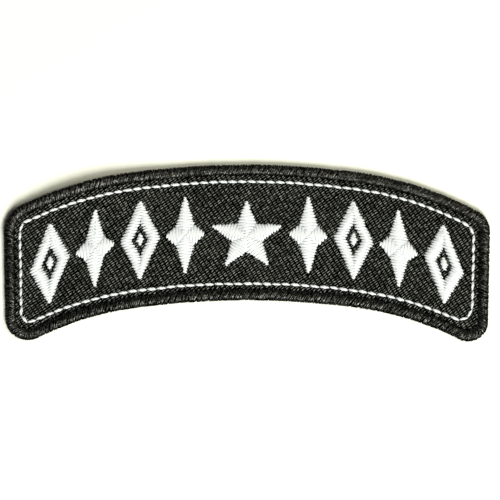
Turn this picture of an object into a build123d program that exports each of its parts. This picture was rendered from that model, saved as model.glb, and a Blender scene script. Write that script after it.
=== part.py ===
from build123d import *
from math import acos, asin, cos, degrees, pi, radians, sin
import os

# An arched cloth patch, embroidered in white on black twill, with an overlocked thread border.
# It lies on its back: +X runs along the arch, +Y to its crown, +Z up out of the embroidery.
# Lengths are in millimetres and angles in degrees.

# Outline: a three-centred arch for the upper edge, and the lower edge one band height below
end_width = 101.6               # between the two ends, end_gauge_drop below the crown
end_gauge_drop = 19.3
end_lean = 1.6                  # each end leans in towards its foot
band_height = 29.05             # upper edge to lower edge on the centre line
crown_radius = 166.0            # middle arc of both edges
crown_half_span = 23.4          # half the chord of the middle arc
upper_left_radius = 82.8        # shoulder arcs, tangent to the middle arc
upper_right_radius = 72.6
lower_left_radius = 65.5
lower_right_radius = 66.1
upper_left_corner = 6.4
upper_right_corner = 4.5
lower_left_corner = 4.7
lower_right_corner = 4.2
least_corner = 0.4              # the least radius of a corner drawn inside the outline

# Overlocked border: a rounded thread edge that grips the cloth
border_width = 2.25
border_height = 1.75
border_side_height = 0.85       # where the upright side turns into the rounded top
border_foot_round = 0.4
seat_gap = 0.05                 # left free between any two pieces

# Twill cloth, pinched thinner where the border grips it
cloth_thickness = 1.2
pinch_depth = 1.35              # how far the pinched edge reaches into the border
pinch_thickness = 0.6
pinch_floor = 0.3               # underside of the pinched edge above the surface it lies on

# Line of running stitches inside the border
stitch_inset = 3.4              # middle of the line in from the outer edge
upper_stitch_extra = 0.35       # how much further in it runs along the upper edge
stitch_width = 0.55
stitch_rise = 0.25
stitch_upper_left_corner = 0.8
stitch_upper_right_corner = 2.5
stitch_lower_left_corner = 1.6
stitch_lower_right_corner = 2.5

# Raised satin ornaments
satin_rim = 0.15                # height of their outermost threads
satin_peak = 0.6                # height of their fullest threads
pip_peak = 0.45                 # the same on the small diamonds
ornaments_each_side = 4         # of the centre star, long stars and diamonds in turn
ornament_margin = 1.95          # from the stitched line to the points above and below
ornament_gap = 1.2              # between neighbours
end_margin = 1.8                # from the last ornament to the stitched line at the end
star_margin = 3.45              # from the stitched line to the centre star
star_points = 5

# Shares of the ornament that they are part of
star_waist = 0.42               # the centre star's inner radius, of its outer one
long_star_waist_width = 0.46
long_star_waist_height = 0.25
ring_middle = 0.71              # the ridge of the diamond ring
ring_opening = 0.42
pip_size = 0.18

crown_turn = asin(crown_half_span / crown_radius)
stitch_inner = stitch_inset + stitch_width / 2
field_height = band_height - upper_stitch_extra - 2 * stitch_inner
field_half_width = end_width / 2 - stitch_inner - end_margin
star_radius = (field_height - 2 * star_margin) / (1 + cos(pi / star_points))
star_half_width = star_radius * sin(2 * pi / star_points)
ornament_pitch = (field_half_width - star_half_width) / ornaments_each_side
ornament_half_width = (ornament_pitch - ornament_gap) / 2
ornament_half_height = field_height / 2 - ornament_margin


def shoulder_centre(side, radius, drop):
    """Centre of a shoulder arc that leaves the middle arc on one side (-1 left, 1 right)."""
    reach = crown_radius - radius
    return Vector(side * reach * sin(crown_turn), reach * cos(crown_turn) - crown_radius - drop)


def edge_height(x, left_radius, right_radius, drop):
    """Height of an arch edge at x."""
    if abs(x) <= crown_half_span:
        return (crown_radius**2 - x**2) ** 0.5 - crown_radius - drop
    side, radius = (-1, left_radius) if x < 0 else (1, right_radius)
    centre = shoulder_centre(side, radius, drop)
    return centre.Y + (radius**2 - (x - centre.X) ** 2) ** 0.5


def shoulder_arc(side, radius, drop, growth, inset):
    """A shoulder arc, grown by growth, from the middle arc out to the end line moved in by inset."""
    centre = shoulder_centre(side, radius, drop)
    lean = radians(end_lean)
    across = (end_width / 2 - side * centre.X) * cos(lean)
    down = (end_gauge_drop + centre.Y) * sin(lean)
    end_turn = degrees(acos((across + down - inset) / (radius + growth)) - lean)
    sweep_turn = 90 - degrees(crown_turn) - end_turn
    start_turn = 90 - side * degrees(crown_turn)
    return CenterArc(centre, radius + growth, start_turn, -side * sweep_turn)


def arched_face(inset, upper_inset, corner_radii):
    """A face inside the outline, drawn in by upper_inset along the upper edge and by inset along
    the rest, with its corners rounded: upper left, upper right, lower left, lower right."""
    turn = degrees(crown_turn)
    upper_left = shoulder_arc(-1, upper_left_radius, 0, -upper_inset, inset)
    upper_right = shoulder_arc(1, upper_right_radius, 0, -upper_inset, inset)
    lower_left = shoulder_arc(-1, lower_left_radius, band_height, inset, inset)
    lower_right = shoulder_arc(1, lower_right_radius, band_height, inset, inset)
    edges = [
        CenterArc((0, -crown_radius), crown_radius - upper_inset, 90 - turn, 2 * turn),
        CenterArc((0, -crown_radius - band_height), crown_radius + inset, 90 - turn, 2 * turn),
        upper_left, upper_right, lower_left, lower_right,
        Line(upper_left @ 1, lower_left @ 1),
        Line(upper_right @ 1, lower_right @ 1),
    ]
    face = make_face(edges).face()
    points = (upper_left @ 1, upper_right @ 1, lower_left @ 1, lower_right @ 1)
    for point, radius in zip(points, corner_radii):
        corner = face.vertices().sort_by_distance(point)[0]
        face = face.fillet_2d(max(radius, least_corner), [corner])
    return face


def band(inset):
    """The face of the arched band, drawn in by inset all round."""
    corners = (upper_left_corner, upper_right_corner, lower_left_corner, lower_right_corner)
    return arched_face(inset, inset, [radius - inset for radius in corners])


def slab(inset, floor, thickness):
    """The band, drawn in by inset, as a plate that starts at floor."""
    return extrude(Pos(0, 0, floor) * band(inset), amount=thickness, dir=(0, 0, 1))


def twill_ground():
    """The cloth: a plate that stops short of the border, and its pinched edge inside the border."""
    body = slab(border_width + seat_gap, 0, cloth_thickness)
    pinched_edge = slab(border_width - pinch_depth, pinch_floor, pinch_thickness)
    return body + pinched_edge


def merrowed_border():
    """The thread edge: its section carried round the outline, with a slot for the pinched cloth."""
    path = band(0).outer_wire()
    tangent = path % 0
    inward = Vector(0, 0, 1).cross(tangent)
    plane = Plane(origin=path @ 0, x_dir=inward, z_dir=inward.cross(Vector(0, 0, 1)))
    foot = border_foot_round
    diagonal = foot * (1 - 0.5**0.5)
    far = border_width
    section = make_face([
        Line((foot, 0), (far - foot, 0)),
        ThreePointArc((far - foot, 0), (far - diagonal, diagonal), (far, foot)),
        Line((far, foot), (far, border_side_height)),
        ThreePointArc((far, border_side_height), (far / 2, border_height), (0, border_side_height)),
        Line((0, border_side_height), (0, foot)),
        ThreePointArc((0, foot), (diagonal, diagonal), (foot, 0)),
    ])
    ring = sweep(plane * section, path=path)
    slot_inset = border_width - pinch_depth - seat_gap
    slot = slab(slot_inset, pinch_floor - seat_gap, pinch_thickness + 2 * seat_gap)
    return ring - slot


def outline_stitch():
    """The line of stitches, as a low rib that lies on the cloth."""
    corners = (stitch_upper_left_corner, stitch_upper_right_corner,
               stitch_lower_left_corner, stitch_lower_right_corner)
    outer, inner = (
        extrude(
            Pos(0, 0, cloth_thickness + seat_gap)
            * arched_face(stitch_inset + half, stitch_inset + upper_stitch_extra + half,
                          [radius - half for radius in corners]),
            amount=stitch_rise, dir=(0, 0, 1),
        )
        for half in (-stitch_width / 2, stitch_width / 2)
    )
    return outer - inner


def on_band(point):
    """Puts a point of a flat drawing on the band: x stays, y follows the arch at that x."""
    x, y = point
    top = edge_height(x, upper_left_radius, upper_right_radius, upper_stitch_extra)
    bottom = edge_height(x, lower_left_radius, lower_right_radius, band_height)
    return Vector(x, (top + bottom) / 2 + y * (top - bottom) / (band_height - upper_stitch_extra))


def facet(*points):
    return Face(Wire.make_polygon(points))


def raised(point, height):
    return point + Vector(0, 0, cloth_thickness + seat_gap + height)


def wall(loop):
    """Upright faces along a closed loop, from the foot of an ornament to its rim."""
    return [
        facet(raised(a, 0), raised(b, 0), raised(b, satin_rim), raised(a, satin_rim))
        for a, b in zip(loop, loop[1:] + loop[:1])
    ]


def satin_star(loop, middle, peak):
    """A solid star: facets climb from the rim to one peak, so each point has a ridge."""
    top = raised(middle, peak)
    base = facet(*[raised(p, 0) for p in loop])
    slopes = [
        facet(raised(a, satin_rim), raised(b, satin_rim), top)
        for a, b in zip(loop, loop[1:] + loop[:1])
    ]
    return Solid(Shell([base] + wall(loop) + slopes))


def satin_ring(outer, middle, inner):
    """A satin band round an opening: it climbs from both rims to a ridge along its middle."""
    base = Face(
        Wire.make_polygon([raised(p, 0) for p in outer]),
        [Wire.make_polygon([raised(p, 0) for p in inner])],
    )
    slopes = []
    for loop in (outer, inner):
        rim = [raised(p, satin_rim) for p in loop]
        ridge = [raised(p, satin_peak) for p in middle]
        pairs = zip(rim, ridge, rim[1:] + rim[:1], ridge[1:] + ridge[:1])
        for a, high_a, b, high_b in pairs:
            slopes += [facet(a, b, high_b), facet(a, high_b, high_a)]
    return Solid(Shell([base] + wall(outer) + wall(inner) + slopes))


def diamond(x, share):
    """The four points of an ornament's diamond, drawn in to a share of its size."""
    across, up = share * ornament_half_width, share * ornament_half_height
    return [on_band(point) for point in ((x + across, 0), (x, up), (x - across, 0), (x, -up))]


def centre_star():
    """A star with its first point up, as tall as the stitched field less its margins."""
    drop = star_radius * (1 - cos(pi / star_points)) / 2
    loop = []
    for step in range(2 * star_points):
        turn = pi / 2 + step * pi / star_points
        reach = star_radius * (star_waist if step % 2 else 1)
        loop.append(on_band((reach * cos(turn), reach * sin(turn) - drop)))
    return satin_star(loop, on_band((0, -drop)), satin_peak)


def long_star(x):
    """A tall four-pointed star."""
    across = long_star_waist_width * ornament_half_width
    up = long_star_waist_height * ornament_half_height
    quarters = [(1, 1), (-1, 1), (-1, -1), (1, -1)]
    waist = [on_band((x + right * across, above * up)) for right, above in quarters]
    loop = [point for pair in zip(diamond(x, 1), waist) for point in pair]
    return satin_star(loop, on_band((x, 0)), satin_peak)


def diamond_ring(x):
    """A tall diamond of satin round an open middle."""
    return satin_ring(diamond(x, 1), diamond(x, ring_middle), diamond(x, ring_opening))


def diamond_pip(x):
    """The small solid diamond inside the ring."""
    return satin_star(diamond(x, pip_size), on_band((x, 0)), pip_peak)


def ornaments():
    """The centre star, and on each side long stars and diamonds in turn out to the end."""
    pieces = {"centre_star": centre_star()}
    for side, name in ((-1, "left"), (1, "right")):
        for place in range(1, ornaments_each_side + 1):
            x = side * (star_half_width + place * ornament_pitch - ornament_half_width)
            if place % 2:
                pieces[f"long_star_{name}_{place}"] = long_star(x)
            else:
                pieces[f"diamond_ring_{name}_{place}"] = diamond_ring(x)
                pieces[f"diamond_pip_{name}_{place}"] = diamond_pip(x)
    return pieces


def main():
    pieces = {
        "twill_ground": twill_ground(),
        "merrowed_border": merrowed_border(),
        "outline_stitch": outline_stitch(),
    }
    pieces.update(ornaments())
    middle = pieces["merrowed_border"].bounding_box().center()
    home = Pos(-middle.X, -middle.Y, 0)
    os.makedirs("parts", exist_ok=True)
    for name, piece in pieces.items():
        export_step(home * piece, f"parts/{name}.step")


main()
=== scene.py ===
import bpy
import numpy as np
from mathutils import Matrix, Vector


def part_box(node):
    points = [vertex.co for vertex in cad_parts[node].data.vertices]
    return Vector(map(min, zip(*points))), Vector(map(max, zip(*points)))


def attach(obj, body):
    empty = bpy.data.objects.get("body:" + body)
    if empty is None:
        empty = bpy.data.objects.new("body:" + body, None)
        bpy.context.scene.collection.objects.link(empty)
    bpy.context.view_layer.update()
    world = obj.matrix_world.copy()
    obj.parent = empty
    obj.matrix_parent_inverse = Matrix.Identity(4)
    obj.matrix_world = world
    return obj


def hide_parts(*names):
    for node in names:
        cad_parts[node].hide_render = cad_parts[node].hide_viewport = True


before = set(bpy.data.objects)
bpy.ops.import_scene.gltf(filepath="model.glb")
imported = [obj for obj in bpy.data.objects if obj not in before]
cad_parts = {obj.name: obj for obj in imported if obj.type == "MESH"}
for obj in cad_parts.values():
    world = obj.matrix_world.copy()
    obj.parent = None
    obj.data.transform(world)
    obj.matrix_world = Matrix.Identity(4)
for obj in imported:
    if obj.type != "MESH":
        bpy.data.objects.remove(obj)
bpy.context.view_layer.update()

# An arched cloth patch, white satin embroidery on black twill, with an overlocked thread border.
# Shapes are worked out in millimetres in the frame's own place, and newPiece makes them metres.
perMetre = 1000.0
dice = np.random.default_rng(7)     # seeded, so every run lays the same threads
toneRange = (0.5, 1.0)              # of a thread as a whole
print("frame loaded, nodes:", len(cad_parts))


# Outline

outline = {
    "endWidth": 101.6,            # between the two ends, at endDrop below the crown
    "endDrop": 19.3,
    "endLean": 1.6,               # degrees, each end leans in towards its foot
    "bandHeight": 29.05,
    "crownRadius": 166.0,
    "crownHalfSpan": 23.4,
    "upperLeftRadius": 82.8, "upperRightRadius": 72.6,
    "lowerLeftRadius": 65.5, "lowerRightRadius": 66.1,
    "upperLeftCorner": 6.4, "upperRightCorner": 4.5,
    "lowerLeftCorner": 4.7, "lowerRightCorner": 4.2,
    "leastCorner": 0.4,           # of an outline drawn in
    "samples": 160,               # points on each arc
}
curl = {
    "height": 1.5, "crown": 0.15,     # mm off the floor, at the upper left and all along the top
    "middle": -36.0, "spread": 14.0,
    "across": 15.0,                   # mm in from the upper edge, where it lies flat again
    "furthest": 1.1,                  # in shares of that reach, for threads past the edge
}
crownTurn = np.arcsin(outline["crownHalfSpan"] / outline["crownRadius"])
lean = np.radians(outline["endLean"])


def sideArcs(side, inset, extra=0, corners=None):
    # The six arcs of one side, from the crown out round the end and back under, drawn to the right:
    # rows 0 and 5 are the crown's, 1 and 4 the shoulders', 2 and 3 the corners'. A row holds centre
    # x and y, radius, first and last angle, and 1 where the cloth is outside the arc.
    # A corner's centre lies its radius inside both the shoulder arc and the end line, and an arc
    # cosine gives its angle on the shoulder arc. The upper edge is drawn in by extra as well.
    name, crown, rows = "Left" if side < 0 else "Right", outline["crownRadius"], []
    levels = (("upper", 0, inset + extra, -1), ("lower", outline["bandHeight"], inset, 1))
    for level, drop, deep, grow in levels:
        radius = outline[level + name + "Radius"]
        key = level + name + "Corner"
        corner = max(corners[key] if corners else outline[key] - inset, outline["leastCorner"])
        centreX = (crown - radius) * np.sin(crownTurn)
        centreY = (crown - radius) * np.cos(crownTurn) - crown - drop
        toEnd = ((outline["endWidth"] / 2 - centreX) * np.cos(lean)
                 + (outline["endDrop"] + centreY) * np.sin(lean))
        reach = radius + grow * (deep + corner)
        turn = np.arccos((toEnd - inset - corner) / reach) - lean
        cornerX, cornerY = centreX + reach * np.cos(turn), centreY + reach * np.sin(turn)
        away = grow > 0
        rows.append([
            (0, -crown - drop, crown + grow * deep, np.pi / 2, np.pi / 2 - crownTurn, away),
            (centreX, centreY, radius + grow * deep, np.pi / 2 - crownTurn, turn, away),
            (cornerX, cornerY, corner, turn - np.pi * away, -lean, False),
        ])
    under = np.array(rows[1], float)[::-1][:, [0, 1, 2, 4, 3, 5]]
    return np.vstack([np.array(rows[0], float), under])


def sidePoints(side, *drawnIn):
    # Each arc as its centre plus its radius times the cosine and sine of evenly spaced angles,
    # with the direction in from the edge: to the centre, or away from it on the lower arcs.
    rows = sideArcs(side, *drawnIn)[:, None, :]
    turn = rows[..., 3] + (rows[..., 4] - rows[..., 3]) * np.linspace(0, 1, outline["samples"])
    ray = np.stack([side * np.cos(turn), np.sin(turn)], -1)
    points = rows[..., :2] * (side, 1) + rows[..., 2:3] * ray
    return points.reshape(-1, 2), (ray * (2 * rows[..., 5:6] - 1)).reshape(-1, 2)


bareOutline = np.vstack([sidePoints(-1, 0)[0], sidePoints(1, 0)[0]])
home = (bareOutline.min(0) + bareOutline.max(0)) / 2      # the frame's origin is its middle


def bandLoop(*drawnIn):
    # The outline drawn in, anticlockwise from the crown, with the length up to each point.
    left, right = sidePoints(-1, *drawnIn), sidePoints(1, *drawnIn)
    points = np.vstack([left[0], right[0][::-1], left[0][:1]]) - home
    inward = np.vstack([left[1], right[1][::-1], left[1][:1]])
    length = np.append(0, np.cumsum(np.hypot(*np.diff(points, axis=0).T)))
    return {"points": points, "inward": inward, "length": length, "total": length[-1]}


def alongLoop(loop, distance):
    # Points and inward directions at distances along a loop, which starts again at its end. They
    # lie evenly between the loop's own points.
    at = np.mod(distance, loop["total"])
    points, inward = (
        np.stack([np.interp(at, loop["length"], loop[key][:, axis]) for axis in (0, 1)], -1)
        for key in ("points", "inward")
    )
    return points, inward / np.linalg.norm(inward, axis=-1, keepdims=True)


def insideDepth(x, y):
    # How far points lie inside the outline: the least of their distances to the upper arcs, the
    # lower arcs and the end, or in a corner's sector its radius less the distance to its centre.
    depth, up = np.zeros(np.shape(x)), y + home[1]
    for side in (-1, 1):
        across, arcs = side * (x + home[0]), sideArcs(side, 0)
        far = [np.hypot(across - arc[0], up - arc[1]) - arc[2] for arc in arcs]
        crownPart, footPart = (np.arctan2(across, up - arcs[i][1]) < crownTurn for i in (0, 5))
        toTop, toFoot = -np.where(crownPart, far[0], far[1]), np.where(footPart, far[5], far[4])
        toEnd = ((outline["endWidth"] / 2 - across) * np.cos(lean)
                 + (outline["endDrop"] + up) * np.sin(lean))
        here = np.minimum(np.minimum(toTop, toFoot), toEnd)
        for i in (2, 3):
            angle = np.arctan2(up - arcs[i][1], across - arcs[i][0])
            sector = (angle > arcs[i][3:5].min()) & (angle < arcs[i][3:5].max())
            here = np.where(sector, -far[i], here)
        depth = np.where(across >= 0, here, depth)
    return depth


def edgeHeight(x, crown, shoulder):
    # Height of an edge at x, on its crown arc near the middle and on a shoulder arc past that.
    across, span = x + home[0], outline["crownHalfSpan"]
    left, right = sideArcs(-1, 0), sideArcs(1, 0)
    arcs = np.array([left[shoulder] * (-1, 1, 1, 1, 1, 1), left[crown], right[shoulder]])
    arc = arcs[1 + (across > span).astype(int) - (across < -span)]
    return arc[..., 1] + np.sqrt(arc[..., 2] ** 2 - (across - arc[..., 0]) ** 2) - home[1]


def onBand(flat):
    # A flat drawing put on the band: x stays, and y becomes a share of the height at that x.
    x, y = flat[..., 0], flat[..., 1]
    top = edgeHeight(x - home[0], 0, 1) - stitches["upperExtra"]
    bottom = edgeHeight(x - home[0], 5, 4)
    drawnHeight = outline["bandHeight"] - stitches["upperExtra"]
    return np.stack([x - home[0], (top + bottom) / 2 + y * (top - bottom) / drawnHeight], -1)


def wave(x, y, perX, perY, start):
    # A sine wave over the cloth, turning by so many radians for each mm along x and y.
    return np.sin(perX * x + perY * y + start)


def smoothStep(low, high, value):
    # From 0 at low to 1 at high: three squares of the share between them, less two cubes.
    share = np.clip((value - low) / (high - low), 0, 1)
    return share * share * (3 - 2 * share)


# Meshes

def tubes(points, width, height, up, sides, closed=False, shade=1.0, peak=1, phase=0.5):
    # A tube along each path. A section's points lie across the path by width times the cosine
    # and along up by height times the sine of an angle that goes once round. Its tone is a chance
    # value of its own times shade, and falls from the crest to nothing underneath, the faster the
    # higher its power peak: painted shade on the flanks and underside, below a painted highlight
    # along the crest.
    shape = points.shape[:2]
    if closed:
        along = np.roll(points, -1, 1) - np.roll(points, 1, 1)
    else:
        along = np.gradient(points, axis=1)
    along = along / np.linalg.norm(along, axis=-1, keepdims=True)
    across = np.cross(up, along)
    across = across / np.linalg.norm(across, axis=-1, keepdims=True)
    out = np.cross(along, across)
    angle = 2 * np.pi * (np.arange(sides) + phase) / sides
    width, height, shade = (
        np.broadcast_to(value, shape)[..., None] for value in (width, height, shade))
    skin = (points[:, :, None] + (width * np.cos(angle))[..., None] * across[:, :, None]
            + (height * np.sin(angle))[..., None] * out[:, :, None])
    index = np.arange(skin.size // 3).reshape(*shape, sides)
    first, last = (index, np.roll(index, -1, 1)) if closed else (index[:, :-1], index[:, 1:])
    quads = np.stack([first, np.roll(first, -1, 2), np.roll(last, -1, 2), last], -1)
    caps = np.vstack([index[:, 0, ::-1], index[:, -1]])[:0 if closed else None]
    # Painted shade: the tone falls from the crest round to nothing underneath.
    paintedCrestShade = ((1 + np.sin(angle)) / 2) ** peak
    tone = dice.uniform(*toneRange, (shape[0], 1, 1)) * shade * paintedCrestShade
    return {
        "vertices": skin.reshape(-1, 3),
        "faces": [quads.reshape(-1, 4), caps],
        "tone": tone.ravel(),
    }


def curled(vertices):
    # The patch stands off the floor most along its upper left edge, by a bell curve along the edge
    # and a parabola that bends up towards it. A bent sheet keeps its length, so the edge comes in
    # by half the integral of the parabola's slope squared.
    x, y, z = vertices.T
    near = np.clip(1 - (edgeHeight(x, 0, 1) - y) / curl["across"], 0, curl["furthest"])
    height = curl["height"] * np.exp(-((x - curl["middle"]) / curl["spread"]) ** 2) + curl["crown"]
    pulled = 2 * height**2 * near**3 / (3 * curl["across"])
    return np.stack([x, y - pulled, z + height * near**2], -1)


def newPiece(name, parts, material, nodes=()):
    # Parts joined into one mesh, in metres: each part's faces count on from the vertices before
    # it. The tone, painted shade and highlight included, goes with each vertex as an attribute.
    vertices = curled(np.vstack([part["vertices"] for part in parts])) / perMetre
    start = np.cumsum([0] + [len(part["vertices"]) for part in parts])
    groups = [faces + start[i] for i, part in enumerate(parts) for faces in part["faces"]
              if len(faces)]
    corners = np.concatenate([faces.ravel() for faces in groups])
    sizes = np.concatenate([np.full(len(faces), faces.shape[1]) for faces in groups])
    tones = np.concatenate([part["tone"] for part in parts])
    mesh = bpy.data.meshes.new(name)
    mesh.vertices.add(len(vertices))
    mesh.vertices.foreach_set("co", vertices.astype(np.float32).ravel())
    mesh.loops.add(len(corners))
    mesh.loops.foreach_set("vertex_index", corners.astype(np.int32))
    mesh.polygons.add(len(sizes))
    mesh.polygons.foreach_set("loop_start", (np.cumsum(sizes) - sizes).astype(np.int32))
    mesh.polygons.foreach_set("use_smooth", np.ones(len(sizes), bool))
    tone = mesh.attributes.new("tone", "FLOAT", "POINT")
    tone.data.foreach_set("value", tones.astype(np.float32))
    mesh.update(calc_edges=True)
    mesh.materials.append(material)
    piece = bpy.data.objects.new(name, mesh)
    bpy.context.scene.collection.objects.link(piece)
    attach(piece, "root")
    if nodes:
        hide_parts(*nodes)
    print(name, "triangles:", int((sizes - 2).sum()), "mended:", mesh.validate())
    return piece


# Materials

noiseRange = {"From Min": 0.3, "From Max": 0.7}      # a noise texture hardly leaves this range


def linear(hexColour):
    # An sRGB hex colour as linear red, green, blue and alpha: a power of 2.4, or a straight line
    # where it is dark.
    srgb = np.array([int(hexColour[i:i + 2], 16) for i in (1, 3, 5)]) / 255
    rgb = np.where(srgb <= 0.04045, srgb / 12.92, ((srgb + 0.055) / 1.055) ** 2.4)
    return (*rgb.tolist(), 1.0)


def addNode(tree, kind, inputs, **settings):
    # One node with its settings. An input takes a value, or another node's output as a link.
    node = tree.nodes.new(kind)
    for key, value in settings.items():
        setattr(node, key, value)
    for socket, value in inputs.items():
        if isinstance(value, bpy.types.NodeSocket):
            tree.links.new(value, node.inputs[socket])
        else:
            node.inputs[socket].default_value = value
    return node


def threadMaterial(name, look):
    # Yarn whose colour runs from dark to light: its share of light is the thread's tone to a power,
    # times streaks, plus clouds. The tone carries the yarn's own chance tone and painted shade and
    # highlight, so the dark colour also stands for shade and the light one for lit crests. The
    # streaks are noise drawn out along one direction, which also gives a bump half a fibre deep.
    # The gloss grows with the same share, so only crests shine and the painted shade takes gloss
    # away too.
    material = bpy.data.materials.new(name)
    material.use_nodes = True
    tree = material.node_tree
    tree.nodes.clear()
    place = addNode(tree, "ShaderNodeTexCoord", {})
    fine = perMetre / look["fibre"]
    turned = addNode(tree, "ShaderNodeMapping", {
        "Vector": place.outputs["Object"], "Rotation": (0, 0, -np.radians(look["slant"])),
        "Scale": (fine / look["drawnOut"], fine, fine)})
    fibres = addNode(tree, "ShaderNodeTexNoise", {
        "Vector": turned.outputs["Vector"], "Scale": 1.0, "Detail": 2.0, "Roughness": 0.6})
    patches = addNode(tree, "ShaderNodeTexNoise", {
        "Vector": place.outputs["Object"], "Scale": perMetre / look["patch"], "Detail": 3.0})
    given = addNode(tree, "ShaderNodeAttribute", {}, attribute_name="tone")
    tone = addNode(tree, "ShaderNodeMath", {0: given.outputs["Fac"], 1: look["narrow"]},
                   operation="POWER")
    streaks = addNode(tree, "ShaderNodeMapRange", {
        "Value": fibres.outputs["Fac"], **noiseRange,
        "To Min": 1 - look["streaks"], "To Max": 1 + look["streaks"]})
    clouds = addNode(tree, "ShaderNodeMapRange", {
        "Value": patches.outputs["Fac"], **noiseRange,
        "To Min": -look["clouds"], "To Max": look["clouds"]})
    share = addNode(tree, "ShaderNodeMath", {
        0: tone.outputs["Value"], 1: streaks.outputs["Result"], 2: clouds.outputs["Result"]},
        operation="MULTIPLY_ADD", use_clamp=True)
    colour = addNode(tree, "ShaderNodeMixRGB", {
        "Fac": share.outputs["Value"],
        "Color1": linear(look["dark"]), "Color2": linear(look["light"])})
    bump = addNode(tree, "ShaderNodeBump", {
        "Height": fibres.outputs["Fac"], "Strength": look["bump"],
        "Distance": look["fibre"] / perMetre / 2})
    gloss = addNode(tree, "ShaderNodeMath", {
        0: share.outputs["Value"], 1: look["crestGloss"], 2: look["specular"]},
        operation="MULTIPLY_ADD")
    # Where only plain values are read, the thread has the gloss of a quarter share all over.
    shader = addNode(tree, "ShaderNodeBsdfPrincipled", {
        "Base Color": colour.outputs["Color"], "Normal": bump.outputs["Normal"],
        "Roughness": look["roughness"], "IOR": look["ior"],
        "Specular IOR Level": look["specular"] + look["crestGloss"] / 4,
        "Sheen Weight": look["sheen"], "Sheen Roughness": look["sheenRoughness"],
        "Sheen Tint": linear(look["sheenTint"])})
    tree.links.new(gloss.outputs["Value"], shader.inputs["Specular IOR Level"])
    addNode(tree, "ShaderNodeOutputMaterial", {"Surface": shader.outputs["BSDF"]})
    return material


# Dyed polyester-cotton twill, woven from spun yarn: a soft dusty black that never shines. The dark
# colour is painted shade in the pits between floats, the light one a painted highlight on crests.
blackTwill = threadMaterial("blackTwill", {
    "dark": "#030403", "light": "#c7c9c6", "narrow": 2.2,
    "patch": 2.5, "clouds": 0.006,                   # mm, faint clouds in the dye
    "fibre": 0.08, "drawnOut": 2.5, "slant": 34.3,   # mm, a 0.02 mm fibre drawn coarser to show
    "streaks": 0.4, "bump": 0.5, "roughness": 0.45, "ior": 1.5,
    "specular": 0.0, "crestGloss": 0.35,
    "sheen": 0.0, "sheenRoughness": 0.5, "sheenTint": "#ffffff",
})
# Textured polyester overlock thread: smoother than the cloth, so its crests catch a low gloss.
# The dark colour is painted shade on the flanks, in the gaps and on the core, the light one a
# painted highlight on crests as well as the strokes' own chance tone.
blackOverlockThread = threadMaterial("blackOverlockThread", {
    "dark": "#020202", "light": "#1f1e1c", "narrow": 1.0,
    "patch": 3.0, "clouds": 0.01,                    # mm
    "fibre": 0.25, "drawnOut": 1.0, "slant": 0.0,    # mm, filament bundles, not the fine filaments
    "streaks": 1.0, "bump": 0.3, "roughness": 0.42, "ior": 1.6,
    "specular": 0.0, "crestGloss": 3.0,
    "sheen": 0.0, "sheenRoughness": 0.4, "sheenTint": "#ffffff",
})
# Rayon embroidery thread, spun without twist to speak of: bleached white with a satin gloss.
# The cool dark colour is painted shade on the flanks, at the thread ends and on the padding.
whiteRayon = threadMaterial("whiteRayon", {
    "dark": "#d3d7e4", "light": "#e3e4ed", "narrow": 1.0,
    "patch": 2.0, "clouds": 0.1,                     # mm
    "fibre": 0.08, "drawnOut": 1.0, "slant": 0.0,    # mm, a 0.015 mm filament drawn coarser to show
    "streaks": 0.15, "bump": 0.15, "roughness": 0.38, "ior": 1.52,
    "specular": 0.4, "crestGloss": 0.1,
    "sheen": 0.1, "sheenRoughness": 0.3, "sheenTint": "#ffffff",
})


# Running stitches

stitches = {
    "inset": 3.4, "upperExtra": 0.35, "length": 2.0,     # mm in, and more along the upper edge
    "upperLeftCorner": 0.8, "upperRightCorner": 2.5,
    "lowerLeftCorner": 1.6, "lowerRightCorner": 2.5,
    "plies": 3, "plyRadius": 0.19, "twist": 0.9,         # turns of the thread in one stitch
    "plyOffset": 0.155, "rise": 0.12, "dive": 0.2,       # mm from the thread's middle, up and down
    "slant": 0.09,                # mm that a stitch starts inside its line and ends outside it
    "stations": 11, "sides": 6, "wander": 0.04,
    "gap": 0.04, "uneven": 0.12,  # share of a stitch lost in each hole, and how much sizes differ
    "arc": (0.05, 0.95),          # the part of half a sine wave that a stitch swells by
    "fullness": 0.9, "endRadius": 0.35, "endTone": 0.5,  # that wave's power, and what holes leave; lost tone is painted shade
    "turnSpread": 0.6, "plyWander": 0.15,                # how much stitches and plies differ
}
upwards = (0.0, 0.0, 1.0)
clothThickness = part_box("twill_ground")[1].z * perMetre
stitchLoop = bandLoop(stitches["inset"], stitches["upperExtra"], stitches)
stitchCount = round(stitchLoop["total"] / stitches["length"])
stitchHoles, stitchInward = alongLoop(
    stitchLoop, np.arange(stitchCount) * stitchLoop["total"] / stitchCount)
stitchHoles = stitchHoles + dice.normal(0, stitches["wander"], stitchHoles.shape)


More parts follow.
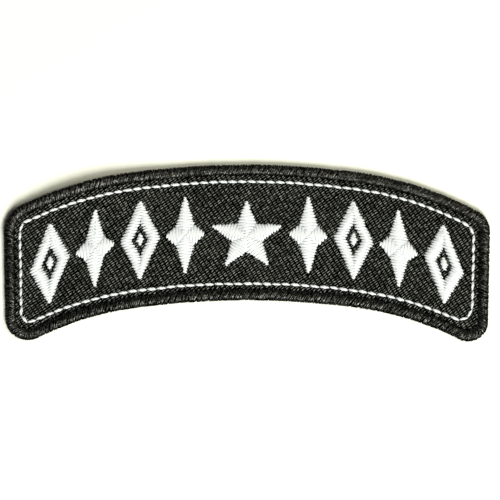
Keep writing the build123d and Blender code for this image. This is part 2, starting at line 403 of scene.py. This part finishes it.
def runningStitches():
    # Each stitch is straight from hole to hole. Its plies turn round that line as a helix whose
    # radius swells in the middle, and the line rises as a sine and dives into the holes.
    look = stitches
    step = np.linspace(look["gap"], 1 - look["gap"], look["stations"])
    size = 1 + dice.uniform(-look["uneven"], look["uneven"], (stitchCount, 1))
    swell = size * np.sin(np.pi * np.linspace(*look["arc"], look["stations"])) ** look["fullness"]
    aside = look["slant"] * stitchInward
    first, last = stitchHoles + aside, np.roll(stitchHoles - aside, -1, 0)
    line = first[:, None] + (last - first)[:, None] * step[:, None]
    across = (last - first)[:, ::-1] * (-1, 1)
    across = across / np.linalg.norm(across, axis=1, keepdims=True)
    lift = clothThickness + look["rise"] - look["dive"] + 2 * look["dive"] * np.sqrt(swell)
    start = dice.random(stitchCount) * look["turnSpread"]
    plies = []
    for ply in range(look["plies"]):
        turn = 2 * np.pi * (ply / look["plies"] + look["twist"] * step + start[:, None])
        beside = np.cos(turn) + dice.normal(0, look["plyWander"], (stitchCount, 1))
        beside = look["plyOffset"] * swell * beside
        path = np.concatenate([line + beside[..., None] * across[:, None],
                               (lift + look["plyOffset"] * swell * np.sin(turn))[..., None]], -1)
        radius = look["plyRadius"] * (look["endRadius"] + (1 - look["endRadius"]) * swell)
        # Painted shade: the tone falls towards the stitch's ends, where it dives into the holes.
        plies.append(tubes(path, radius, radius, upwards, look["sides"],
                           shade=look["endTone"] + (1 - look["endTone"]) * swell))
    return plies


# Ornaments

ornaments = {
    "rim": 0.15, "peak": 0.6, "pipPeak": 0.45,      # mm above the cloth, as in the frame
    "seat": 0.05, "margin": 1.95, "stitchWidth": 0.55,   # mm: above the cloth, from line to tips
    "starPoints": 5, "starWaist": 0.42,             # the waists and the rest in shares of the size
    "longWaistWidth": 0.46, "longWaistHeight": 0.25,
    "ringMiddle": 0.71, "ringOpening": 0.42, "pipSize": 0.18,
}
satin = {
    "pitch": 0.30, "width": 0.19, "height": 0.10,   # a thread's half width and half height
    "zigzag": 0.6, "past": 0.03, "ragged": 0.09,    # how thread ends pair up, pass the rail, differ
    "bounce": 0.012, "widths": (0.92, 1.08),        # mm up and down, and shares of the half width
    "stations": 11, "sides": 7, "shortest": 0.45,
    "dive": 0.16, "endPower": 10,                   # mm that the ends dive, and how suddenly
    "endTaper": 0.45, "endShade": 0.5,              # shares of width and tone that the ends lose
    "overlap": 0.035,                               # share by which two columns interlock
    # The padding's low tone is painted shade, for where it shows between the satin threads.
    "under": 0.11, "underTone": 0.3,                # mm from the satin down to its padding
    "underFoot": -0.04,
    # The padding's size at its rim and at its top, in shares of an ornament's. A ring's second
    # share is what its padding keeps off the opening.
    "starUnder": (0.95, 0.04), "ringUnder": (0.96, 0.04), "pipUnder": (0.9, 0.05),
}
satinFoot = clothThickness + ornaments["seat"]
fieldHeight = (outline["bandHeight"] - stitches["upperExtra"] - 2 * stitches["inset"]
               - ornaments["stitchWidth"])
ornamentHalfHeight = fieldHeight / 2 - ornaments["margin"]


def satinColumn(rows):
    # One column of satin. Rows: the way along it, the two rails' x and y, the heights at the rails
    # and in the middle. Threads cross from rail to rail, their ends drawn together in pairs as the
    # needle goes to and fro, and arch by a parabola between the heights.
    look, rows = satin, np.array(rows, float)
    step = np.arange(int(rows[-1, 0] / look["pitch"]))
    pairs = np.stack([2 * ((step + 1) // 2), 2 * (step // 2) + 1])
    at = look["pitch"] * ((1 - look["zigzag"]) * (step + 0.5) + look["zigzag"] * pairs)
    railA, railB = (
        np.stack([np.interp(at[i], rows[:, 0], rows[:, 1 + 2 * i + j]) for j in (0, 1)], -1)
        for i in (0, 1)
    )
    heights = [np.interp(at.mean(0), rows[:, 0], rows[:, j]) for j in (5, 6, 7)]
    gap = np.linalg.norm(railB - railA, axis=1)
    keep = gap > look["shortest"]
    railA, railB, gap = railA[keep], railB[keep], gap[keep, None]
    low, high, middle = (h[keep, None] for h in heights)
    way = (railB - railA) / gap
    railA = railA - way * dice.normal(look["past"], look["ragged"], gap.shape)
    railB = railB + way * dice.normal(look["past"], look["ragged"], gap.shape)
    share = (1 - np.cos(np.pi * np.linspace(0, 1, look["stations"]))) / 2
    flat = railA[:, None] + (railB - railA)[:, None] * share[:, None]
    arch = low + (high - low) * share + (middle - (low + high) / 2) * 4 * share * (1 - share)
    ends = np.abs(2 * share - 1) ** look["endPower"]
    lift = satinFoot + arch - look["height"] - look["dive"] * ends
    lift = lift + dice.normal(0, look["bounce"], gap.shape)
    points = np.concatenate([onBand(flat), lift[..., None]], -1)
    width = look["width"] * (1 - look["endTaper"] * ends) * dice.uniform(*look["widths"], gap.shape)
    # Painted shade: the tone falls where the thread's ends dive into the cloth.
    return [tubes(points, width, look["height"], upwards, look["sides"],
                  shade=1 - look["endShade"] * ends)]


def underlay(loop, middle, steps, closed=False, sunk=0.0):
    # The padding stitches under the satin: copies of its outline drawn in to a share of the size,
    # each at its own height, joined by facets. Steps go from the foot up and over. The corners lie
    # deeper by sunk.
    steps, loop = np.array(steps), np.array(loop)
    flat = middle + (loop - middle) * steps[:, 0, None, None]
    lift = satinFoot + steps[:, 1, None] - np.broadcast_to(sunk, len(loop))
    lift = lift[..., None]
    index = np.arange(len(steps) * len(loop)).reshape(len(steps), -1)
    first, last = (index, np.roll(index, -1, 0)) if closed else (index[:-1], index[1:])
    quads = np.stack([first, np.roll(first, -1, 1), np.roll(last, -1, 1), last], -1)
    caps = np.vstack([index[0, ::-1], index[-1]])[:0 if closed else None]
    return {
        "vertices": np.concatenate([onBand(flat), lift], -1).reshape(-1, 3),
        "faces": [quads.reshape(-1, 4), caps],
        # Painted shade: the padding is darker than the satin over it.
        "tone": np.full(index.size, satin["underTone"]),
    }


def satinArm(middle, tip, waists, peak):
    # A star's arm: rails from the middle out over the two waists to the tip, and a ridge that
    # falls evenly from the peak in the middle to the rim at the tip.
    middle, tip, waists = (np.array(p, float) for p in (middle, tip, waists))
    long = np.linalg.norm(tip - middle)
    crossing = np.linalg.norm(waists.mean(0) - middle)
    rim = ornaments["rim"]
    ridge = peak + (rim - peak) * crossing / long
    return satinColumn([
        (0, *middle, *middle, peak, peak, peak),
        (crossing, *waists[0], *waists[1], rim, rim, ridge),
        (long, *tip, *tip, rim, rim, rim),
    ])


def starLoop(x):
    # The centre star's outline: radius times cosine and sine, at the points and waists in turn.
    low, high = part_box("centre_star")
    points = ornaments["starPoints"]
    radius = (high.x - low.x) * perMetre / 2 / np.sin(2 * np.pi / points)
    drop = radius * (1 - np.cos(np.pi / points)) / 2
    turn = np.pi / 2 + np.arange(2 * points) * np.pi / points
    reach = radius * np.where(np.arange(2 * points) % 2, ornaments["starWaist"], 1)
    return np.stack([x + reach * np.cos(turn), reach * np.sin(turn) - drop], -1), (x, -drop)


def longStarLoop(x, halfWidth):
    # Four points and four waists in turn, from the right one round: the four ways of a cross, and
    # of its diagonals, times the half sizes.
    half = np.array([halfWidth, ornamentHalfHeight])
    waist = half * (ornaments["longWaistWidth"], ornaments["longWaistHeight"])
    tips = np.array([(1, 0), (0, 1), (-1, 0), (0, -1)]) * half
    waists = np.array([(1, 1), (-1, 1), (-1, -1), (1, -1)]) * waist
    return np.stack([tips, waists], 1).reshape(-1, 2) + (x, 0), (x, 0)


def diamondLoop(x, halfWidth, share):
    # A diamond's corners, right one first: a share of its half width or half height from x.
    return np.array([(x + share * halfWidth, 0), (x, share * ornamentHalfHeight),
                     (x - share * halfWidth, 0), (x, -share * ornamentHalfHeight)])


def starSatin(loop, middle):
    # One arm for each point of the star, between the waists before and after it. The padding is
    # the outline drawn in, from its foot to the rim and up to a small top at the peak.
    rim, peak = ornaments["rim"] - satin["under"], ornaments["peak"] - satin["under"]
    waists = np.stack([np.roll(loop, 1, 0), np.roll(loop, -1, 0)], 1)
    arms = [part for i in range(0, len(loop), 2)
            for part in satinArm(middle, loop[i], waists[i], ornaments["peak"])]
    outer, top = satin["starUnder"]
    steps = [(outer, satin["underFoot"]), (outer, rim), (top, peak)]
    return arms + [underlay(loop, middle, steps)]


def ringSatin(x, halfWidth):
    # Two columns of level threads, left and right of the opening, that interlock above and below
    # it. A row's share is its height over the middle; the ridge runs half way across the band.
    rim, peak, tall = ornaments["rim"], ornaments["peak"], ornamentHalfHeight
    opening, ridge = ornaments["ringOpening"], ornaments["ringMiddle"]
    slope = (rim + peak) / 2
    parts = []
    for side in (-1, 1):
        rows = [
            (tall * (1 - share), x + side * halfWidth * (1 - abs(share)), tall * share,
             x + side * halfWidth * max(opening - abs(share), -satin["overlap"]), tall * share,
             rim, inner, middle)
            for share, inner, middle in (
                (1, rim, rim), (ridge, peak, slope), (opening, rim, peak), (0, rim, peak),
                (-opening, rim, peak), (-ridge, peak, slope), (-1, rim, rim))
        ]
        parts += satinColumn(rows)
    rim, peak = rim - satin["under"], peak - satin["under"]
    outer, inner = satin["ringUnder"][0], opening + satin["ringUnder"][1]
    steps = [(outer, satin["underFoot"]), (outer, rim), (ridge, peak), (inner, rim),
             (inner, satin["underFoot"])]
    return parts + [underlay(diamondLoop(x, halfWidth, 1), (x, 0), steps, closed=True,
                             sunk=(0, satin["dive"], 0, satin["dive"]))]


def pipSatin(x, halfWidth):
    # The small diamond in a ring: level threads from its left edge to its right one, over one peak.
    right, top, left, bottom = diamondLoop(x, halfWidth, ornaments["pipSize"])
    rim, peak, under = ornaments["rim"], ornaments["pipPeak"], satin["under"]
    threads = satinColumn([
        (0, *top, *top, rim, rim, rim),
        (top[1], *left, *right, rim, rim, peak),
        (2 * top[1], *bottom, *bottom, rim, rim, rim),
    ])
    outer, tip = satin["pipUnder"]
    steps = [(outer, satin["underFoot"]), (outer, rim - under), (tip, peak - under)]
    return threads + [underlay((right, top, left, bottom), (x, 0), steps)]


def ornamentPlaces():
    # Each ornament's middle and half width, read from the frame's nodes.
    places = {}
    for node in sorted(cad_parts):
        if node.startswith(("long_star", "diamond_ring", "diamond_pip")):
            low, high = (corner.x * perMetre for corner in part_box(node))
            places[node] = (high + low) / 2 + home[0], (high - low) / 2
    return places


def camelName(node):
    # A node's words joined, each after the first with a capital.
    first, *rest = node.split("_")
    return first + "".join(word.capitalize() for word in rest)


ornamentLoops = []          # outline and opening of each, for the cloth to give way to
places = ornamentPlaces()
centreLoop, centreMiddle = starLoop(0.0)
satinPieces = {"centre_star": starSatin(centreLoop, centreMiddle)}
ornamentLoops.append((onBand(centreLoop), None))
for node, (x, half) in places.items():
    if node.startswith("long_star"):
        loop, middle = longStarLoop(x, half)
        satinPieces[node] = starSatin(loop, middle)
        ornamentLoops.append((onBand(loop), None))
    elif node.startswith("diamond_ring"):
        satinPieces[node] = ringSatin(x, half)
        ornamentLoops.append((onBand(diamondLoop(x, half, 1)),
                              onBand(diamondLoop(x, half, ornaments["ringOpening"]))))
    else:
        whole = half / ornaments["pipSize"]
        satinPieces[node] = pipSatin(x, whole)
        ornamentLoops.append((onBand(diamondLoop(x, whole, ornaments["pipSize"])), None))
for node, parts in satinPieces.items():
    newPiece(camelName(node) + "Satin", parts, whiteRayon, [node])
stitchPiece = newPiece("outlineStitches", runningStitches(), whiteRayon,
                       ["outline_stitch"])


# Cloth

cloth = {
    "edgeInset": 0.95,            # the pinched edge, out of sight inside the border
    "edgeFoot": 0.3,              # mm from the floor up to that edge
    "crease": (2.05, 2.95),       # mm in from the outline, where the cloth dips to the border
    "creaseDrop": 0.42,
    "columns": 320, "rows": 90,
    "crowding": 0.1,              # draws the grid's lines towards the edges
    "ripple": 0.03, "rippleWaves": ((0.55, 0.8, 0.0), (0.9, -0.35, 1.3)),
    "stitchDip": 0.09, "stitchReach": 0.6,        # mm down, and how far to the side it reaches
    "satinDip": 0.08, "satinReach": 0.5,
}
floats = {
    "along": (0.7419, 0.5061),    # mm, from a float to the next in its row
    "across": (0.2569, -0.4197),  # mm, from a row to the next
    "length": 0.78, "width": 0.135, "height": 0.15, "lengths": (0.9, 1.08), "widths": (0.9, 1.1),
    "stations": (-0.5, -0.3, 0.0, 0.3, 0.5),      # places along a float, in shares of its length
    "bow": 0.10, "sink": 0.12, "bowPower": 2.5, "bounce": 0.012,      # mm up, and down at the ends
    "taper": 0.5, "taperPower": 3,
    "faded": 0.85, "endShade": 0.8, "shadePower": 4,
    "wander": 0.10, "jitter": 0.04, "tilt": 0.13, "turned": 0.08,     # mm, mm, radians, radians
    "wanderX": ((0.0, 0.31, 0.9), (0.23, -0.4, 0.0)),
    "wanderY": ((0.27, 0.0, 2.0), (0.19, 0.33, 4.0)),
    "clear": 2.25, "covered": 0.05,               # mm in from the outline, and under the satin
    "sides": 5, "phase": 0.25, "peak": 4,         # the first side's place, for a corner on top
}


def loopDepth(x, y, loop):
    # How far points lie inside a closed loop, and less than zero outside: the distance to the
    # nearest side, signed by how often a line to the right crosses the sides.
    nearest, inside = np.full(np.shape(x), np.inf), np.zeros(np.shape(x), bool)
    for (ax, ay), (bx, by) in zip(loop, np.roll(loop, -1, 0)):
        goX, goY = bx - ax, by - ay
        share = np.clip(((x - ax) * goX + (y - ay) * goY) / (goX**2 + goY**2), 0, 1)
        nearest = np.minimum(nearest, np.hypot(x - ax - share * goX, y - ay - share * goY))
        level = (y - ay) / (goY if goY else 1)
        inside = inside ^ (((ay > y) != (by > y)) & (x < ax + level * goX))
    return np.where(inside, nearest, -nearest)


def satinDepth(x, y):
    # How far points lie under the satin of any ornament, and less than zero beside it.
    depth = np.full(np.shape(x), -np.inf)
    for around, opening in ornamentLoops:
        here = loopDepth(x, y, around)
        if opening is not None:
            here = np.minimum(here, -loopDepth(x, y, opening))
        depth = np.maximum(depth, here)
    return depth


def clothTop(x, y):
    # Height of the cloth: its thickness, less a smooth step down to the border, a dip at each
    # stitch hole and beside the satin, and plus a slight ripple of crossed sine waves.
    depth = insideDepth(x, y)
    crease = cloth["creaseDrop"] * (1 - smoothStep(*cloth["crease"], depth))
    holeX, holeY = stitchHoles.T
    toHole = np.hypot(x[..., None] - holeX, y[..., None] - holeY).min(-1)
    stitchDip = cloth["stitchDip"] * np.exp(-(toHole / cloth["stitchReach"]) ** 2)
    satinDip = cloth["satinDip"] * np.exp(-(satinDepth(x, y) / cloth["satinReach"]) ** 2)
    first, second = (wave(x, y, *numbers) for numbers in cloth["rippleWaves"])
    return clothThickness - crease - stitchDip - satinDip + cloth["ripple"] * (first * second)


def clothGrid():
    # A Coons patch between the outline's four corners: the blend of the two long edges plus the
    # blend of the two ends, less the blend of the corners.
    loop, corners = bandLoop(cloth["edgeInset"]), []
    for side, row in ((-1, 2), (-1, 3), (1, 3), (1, 2)):
        centreX, centreY, radius, first, last, _ = sideArcs(side, cloth["edgeInset"])[row]
        turn = (first + last) / 2
        corner = np.array([side * (centreX + radius * np.cos(turn)),
                           centreY + radius * np.sin(turn)]) - home
        corners.append(loop["length"][np.argmin(np.hypot(*(loop["points"] - corner).T))])
    upperLeft, lowerLeft, lowerRight, upperRight = corners
    overCrown = upperLeft + loop["total"]         # the upper edge runs back over the loop's start
    u, v = (t - cloth["crowding"] * np.sin(2 * np.pi * t)
            for t in (np.linspace(0, 1, cloth[key] + 1) for key in ("columns", "rows")))
    top = alongLoop(loop, overCrown + (upperRight - overCrown) * u)[0]
    foot = alongLoop(loop, lowerLeft + (lowerRight - lowerLeft) * u)[0]
    left = alongLoop(loop, lowerLeft + (upperLeft - lowerLeft) * v)[0]
    right = alongLoop(loop, lowerRight + (upperRight - lowerRight) * v)[0]
    u, v = u[:, None, None], v[None, :, None]
    corners = ((1 - u) * (1 - v) * foot[0] + u * (1 - v) * foot[-1]
               + (1 - u) * v * top[0] + u * v * top[-1])
    return ((1 - v) * foot[:, None] + v * top[:, None]
            + (1 - u) * left[None] + u * right[None] - corners)


def clothSheet():
    # The sheet's upper and lower faces on one grid, and a wall round its edge between them.
    grid = clothGrid()
    x, y = grid[..., 0], grid[..., 1]
    depth = insideDepth(x, y)
    share = smoothStep(*cloth["crease"], depth)
    foot = cloth["edgeFoot"] * (1 - share)
    upper = np.concatenate([grid, clothTop(x, y)[..., None]], -1)
    lower = np.concatenate([grid, foot[..., None]], -1)
    index = np.arange(x.size).reshape(x.shape)
    quads = np.stack([index[:-1, :-1], index[1:, :-1], index[1:, 1:], index[:-1, 1:]], -1)
    quads = quads.reshape(-1, 4)
    rim = np.concatenate([index[:-1, 0], index[-1, :-1], index[:0:-1, -1], index[0, :0:-1]])
    after = np.roll(rim, -1)
    wall = np.stack([rim + x.size, after + x.size, after, rim], -1)
    return {
        "vertices": np.vstack([upper.reshape(-1, 3), lower.reshape(-1, 3)]),
        "faces": [quads, quads[:, ::-1] + x.size, wall],
        # Tone nothing gives the darkest colour: painted shade in the pits between the floats.
        "tone": np.zeros(2 * x.size),
    }


def twillFloats():
    # The yarns that show on the face of the twill: short flat tubes on a slanting lattice, which
    # wanders by slow sine waves. Each is bowed up in the middle, and loses height, width and tone
    # by a power of how near it is to an end: the lost tone is painted shade where it dives under
    # the crossing yarn, and its tubes carry painted crest shade by the power peak.
    look = floats
    along, across = np.array(look["along"]), np.array(look["across"])
    reach = outline["endWidth"] / np.linalg.norm(across) / 2
    i, j = np.meshgrid(*[np.arange(-reach, reach)] * 2, indexing="ij")
    middle = (i[..., None] * across + j[..., None] * along).reshape(-1, 2)
    middle = middle[(np.abs(middle) < (outline["endWidth"] / 2, outline["bandHeight"])).all(1)]
    x, y = middle.T
    middle = middle + look["wander"] * np.stack([
        sum(wave(x, y, *numbers) for numbers in look[key]) for key in ("wanderX", "wanderY")], -1)
    middle = middle + dice.normal(0, look["jitter"], middle.shape)
    x, y = middle.T
    middle = middle[(insideDepth(x, y) > look["clear"]) & (satinDepth(x, y) < look["covered"])]
    count = (len(middle), 1)
    angle = np.arctan2(along[1], along[0]) + dice.normal(look["turned"], look["tilt"], count)
    step = np.array(look["stations"])
    toEnd = 2 * np.abs(step)
    far = look["length"] * dice.uniform(*look["lengths"], count) * step
    points = middle[:, None] + np.stack([far * np.cos(angle), far * np.sin(angle)], -1)
    bow = look["bow"] - (look["bow"] + look["sink"]) * toEnd ** look["bowPower"]
    lift = clothTop(points[..., 0], points[..., 1]) + bow + dice.normal(0, look["bounce"], count)
    points = np.concatenate([points, lift[..., None]], -1)
    taper = 1 - look["taper"] * toEnd ** look["taperPower"]
    size = dice.uniform(*look["widths"], count)
    # Painted shade at the float's ends, times a chance tone of its own.
    shade = 1 - look["endShade"] * toEnd ** look["shadePower"]
    return tubes(points, look["width"] * taper * size, look["height"] * taper, upwards,
                 look["sides"], peak=look["peak"], phase=look["phase"],
                 shade=shade * dice.uniform(look["faded"], 1, count))


weavePiece = newPiece("twillFloats", [twillFloats()], blackTwill)


# Overlocked border

border = {
    "width": 2.25, "height": 1.75, "archFoot": 1.05, "footRound": 0.4,      # mm
    "thick": 0.045, "sides": 6, "widths": (0.85, 1.15),      # thick is a thread's half height
    # Degrees round the section: 0 at the cloth, 90 on top, 180 at the outer side, 270 underneath.
    "turns": (-30, 0, 15, 30, 45, 60, 75, 90, 105, 120, 135, 150, 168, 190, 230, 275, 320),
    # Painted shade: the threads' tone is cut on the outer slope, between these degrees.
    "edgeShade": (170, 112),      # degrees between which the tone grows from nothing to full
    # Pitch and half width in mm, the mm that a thread gains from the inner to the outer edge and
    # how unevenly, and how deep it lies.
    "wraps": [(0.42, 0.15, 1.2, 0.12, -0.02), (0.9, 0.10, -0.3, 0.45, -0.05)],
    "loose": 0.04, "lift": 0.02, "proud": 0.01, "leastGap": 0.04,     # mm, the last off the floor
    "tilt": 0.10, "peak": 6,
    "wobble": 0.07, "waves": (9, 14, 23, 37, 58),     # mm in and out, and how many waves all round
    "dull": 0.08, "rare": 2.2,    # tone of the dullest strokes, and how rare bright ones are
    "coreDepth": 0.16, "coreSegments": 700,
    "coreTurns": (-20, 20, 60, 90, 120, 160, 180, 181, 225, 270, 271, 315),
}
borderTurns = np.radians(border["turns"])
borderPhases = dice.uniform(0, 2 * np.pi, len(border["waves"]))
# Three ways in which a thread may lie tilted: evenly, and by a sine or a cosine round the section.
borderTilts = np.stack([
    np.ones_like(borderTurns), np.sin(2 * borderTurns), np.cos(3 * borderTurns)])


def borderSection(turns, drawnIn):
    # The border's section drawn in by a little: half an ellipse on top of two rounded feet. A
    # point is its centre plus the two radii times the cosine and sine of the turn, and cosine and
    # sine over the radii give the direction out. Gives the way in, the height, and that direction.
    half, foot = border["width"] / 2, border["footRound"]
    rise = border["height"] - border["archFoot"]
    top, outer = turns <= np.pi, turns <= np.radians(270)
    centre = np.where(top, half, np.where(outer, foot, border["width"] - foot))
    level = np.where(top, border["archFoot"], foot)
    across, upward = np.where(top, half, foot) - drawnIn, np.where(top, rise, foot) - drawnIn
    out = np.stack([np.cos(turns) / across, np.sin(turns) / upward])
    out = out / np.hypot(*out)
    return (centre + across * np.cos(turns), level + upward * np.sin(turns), *out)


def borderThreads(pitch, halfWidth, slant, uneven, deep):
    # Threads wound over the edge: each follows the section at its own place along the outline,
    # and moves back along it by half a cosine wave as it goes outwards. The whole edge moves in
    # and out by the mean of a few sine waves.
    look, loop = border, bandLoop(0)
    count = round(loop["total"] / pitch)
    start = (np.arange(count) + 0.5) * loop["total"] / count
    start = (start + dice.normal(0, look["loose"], count))[:, None]
    gain = slant + dice.normal(0, uneven, (count, 1))
    distance = start - gain * (1 - np.cos(borderTurns)) / 2
    edge, inward = alongLoop(loop, distance)
    phase = 2 * np.pi * distance[..., None] / loop["total"] * look["waves"] + borderPhases
    edge = edge + look["wobble"] * np.sin(phase).mean(-1)[..., None] * inward
    sunk = np.abs(dice.normal(0, look["lift"], (count, 1)))
    drawnIn = look["thick"] + deep + sunk - look["proud"]
    inset, level, outIn, outUp = borderSection(borderTurns, drawnIn)
    level = np.maximum(level, look["thick"] + look["leastGap"])
    points = np.concatenate([edge + inset[..., None] * inward, level[..., None]], -1)
    tilt = dice.normal(0, look["tilt"], (count, 3)) @ borderTilts
    beside = tilt[..., None] * inward[..., ::-1] * (-1, 1)
    up = np.concatenate([outIn[..., None] * inward + beside, outUp[..., None]], -1)
    width = halfWidth * dice.uniform(*look["widths"], (count, 1))
    tones = look["dull"] + (1 - look["dull"]) * dice.random(points.shape[:2]) ** look["rare"]
    # Painted shade on the outer slope, times each stroke's chance tone; peak sets the painted crest
    # shade.
    paintedOuterShade = smoothStep(*look["edgeShade"], np.degrees(borderTurns))
    return tubes(points, width, look["thick"], up, look["sides"],
                 shade=tones * paintedOuterShade, peak=look["peak"], phase=0)


def borderCore():
    # What the threads are wound on: the same section, drawn in further, as one closed ring.
    look, loop, turns = border, bandLoop(0), np.radians(border["coreTurns"])
    step = np.arange(look["coreSegments"]) / look["coreSegments"]
    edge, inward = alongLoop(loop, step * loop["total"])
    inset, level, _, _ = borderSection(turns, look["coreDepth"])
    skin = np.concatenate([edge[:, None] + inset[:, None] * inward[:, None],
                           np.broadcast_to(level[:, None], (len(edge), len(turns), 1))], -1)
    index = np.arange(len(edge) * len(turns)).reshape(len(edge), -1)
    after = np.roll(index, -1, 0)
    quads = np.stack([index, after, np.roll(after, -1, 1), np.roll(index, -1, 1)], -1)
    return {"vertices": skin.reshape(-1, 3), "faces": [quads.reshape(-1, 4)],
            # Tone nothing gives the darkest colour: painted shade in the gaps between the threads.
            "tone": np.zeros(index.size)}


borderPiece = newPiece("merrowThreads", [borderThreads(*wrap) for wrap in border["wraps"]]
                       + [borderCore()], blackOverlockThread, ["merrowed_border"])
clothPiece = newPiece("twillSheet", [clothSheet()], blackTwill, ["twill_ground"])
# The points of the sheet's outline drawn in, as x and y.
edgeX, edgeY = bandLoop(cloth["edgeInset"])["points"].T


# Floor, light and camera

studio = {
    "floor": "#f8f8f7", "floorHalf": 1.5, "floorRoughness": 0.9,            # half a side in metres
    "overhead": "#fcffec", "horizon": "#5c5d50", "fillStrength": 0.08,      # the sky's two colours
    # Each lamp: share of white it gives the floor, size and distance in metres, degrees to the
    # right of the camera and degrees up.
    "key": {"colour": "#fdfff1", "floor": 1.0, "size": 0.59, "far": 1.4,
            "azimuth": 14.0, "up": 48.0},
    "side": {"colour": "#fffee2", "floor": 0.38, "size": 0.30, "far": 0.8,
             "azimuth": 80.0, "up": 60.0},
}
view = {
    "elevation": 77.0, "far": 1.0,              # degrees and metres
    "pixels": 500, "perPixel": 0.2093,          # mm on the cloth for one pixel
    "middle": (0.66, 0.48),                     # mm, the point of the cloth at the picture's middle
}


def studioFloor():
    # A flat square under the patch, far wider than the picture.
    mesh, half = bpy.data.meshes.new("studioFloor"), studio["floorHalf"]
    mesh.from_pydata([(-half, -half, 0), (half, -half, 0), (half, half, 0), (-half, half, 0)], [],
                     [(0, 1, 2, 3)])
    # Pale matt paper: an even ground with nothing to see but the patch's soft shadow.
    material = bpy.data.materials.new("palePaper")
    material.use_nodes = True
    shader = material.node_tree.nodes["Principled BSDF"]
    shader.inputs["Base Color"].default_value = linear(studio["floor"])
    shader.inputs["Roughness"].default_value = studio["floorRoughness"]
    mesh.materials.append(material)
    floor = bpy.data.objects.new("studioFloor", mesh)
    bpy.context.scene.collection.objects.link(floor)


def softLamp(name):
    # A square soft lamp aimed at the patch. The floor under it sends back power times the sine of
    # its elevation over pi squared and the distance squared, so the power follows from that.
    look = studio[name]
    azimuth, up = np.radians(look["azimuth"]), np.radians(look["up"])
    lamp = bpy.data.lights.new(name + "Lamp", "AREA")
    lamp.size = look["size"]
    lamp.energy = look["floor"] * (np.pi * look["far"]) ** 2 / np.sin(up)
    lamp.color = linear(look["colour"])[:3]
    away = Vector((np.sin(azimuth) * np.cos(up), -np.cos(azimuth) * np.cos(up), np.sin(up)))
    holder = bpy.data.objects.new(name + "Lamp", lamp)
    holder.location = away * look["far"]
    holder.rotation_mode = "QUATERNION"
    holder.rotation_quaternion = away.to_track_quat("Z", "Y")
    bpy.context.scene.collection.objects.link(holder)


def fillLight():
    # A faint sky, brightest overhead: the direction's height picks a colour between the two.
    world = bpy.data.worlds.new("studioFill")
    world.use_nodes = True
    tree = world.node_tree
    background = tree.nodes["Background"]
    way = addNode(tree, "ShaderNodeTexCoord", {})
    parts = addNode(tree, "ShaderNodeSeparateXYZ", {"Vector": way.outputs["Generated"]})
    sky = addNode(tree, "ShaderNodeMixRGB", {
        "Fac": parts.outputs["Z"],
        "Color1": linear(studio["horizon"]), "Color2": linear(studio["overhead"])})
    tree.links.new(sky.outputs["Color"], background.inputs["Color"])
    background.inputs["Strength"].default_value = studio["fillStrength"]
    bpy.context.scene.world = world


def patchCamera():
    # Looks down at the patch from the front, from the photograph's angle. The lens is to the
    # sensor's width as the distance is to the width of cloth that the picture shows.
    data = bpy.data.cameras.new("patchCamera")
    data.lens = data.sensor_width * view["far"] * perMetre / (view["pixels"] * view["perPixel"])
    up = np.radians(view["elevation"])
    back = Vector((0, -np.cos(up), np.sin(up)))
    middle = Vector((*view["middle"], clothThickness)) / perMetre
    camera = bpy.data.objects.new("patchCamera", data)
    camera.location = middle + back * view["far"]
    camera.rotation_mode = "QUATERNION"
    camera.rotation_quaternion = back.to_track_quat("Z", "Y")
    bpy.context.scene.collection.objects.link(camera)
    bpy.context.scene.camera = camera


studioFloor()
softLamp("key")
softLamp("side")
fillLight()
patchCamera()
bpy.context.scene.view_settings.view_transform = "Standard"
print("floor, light and camera placed")
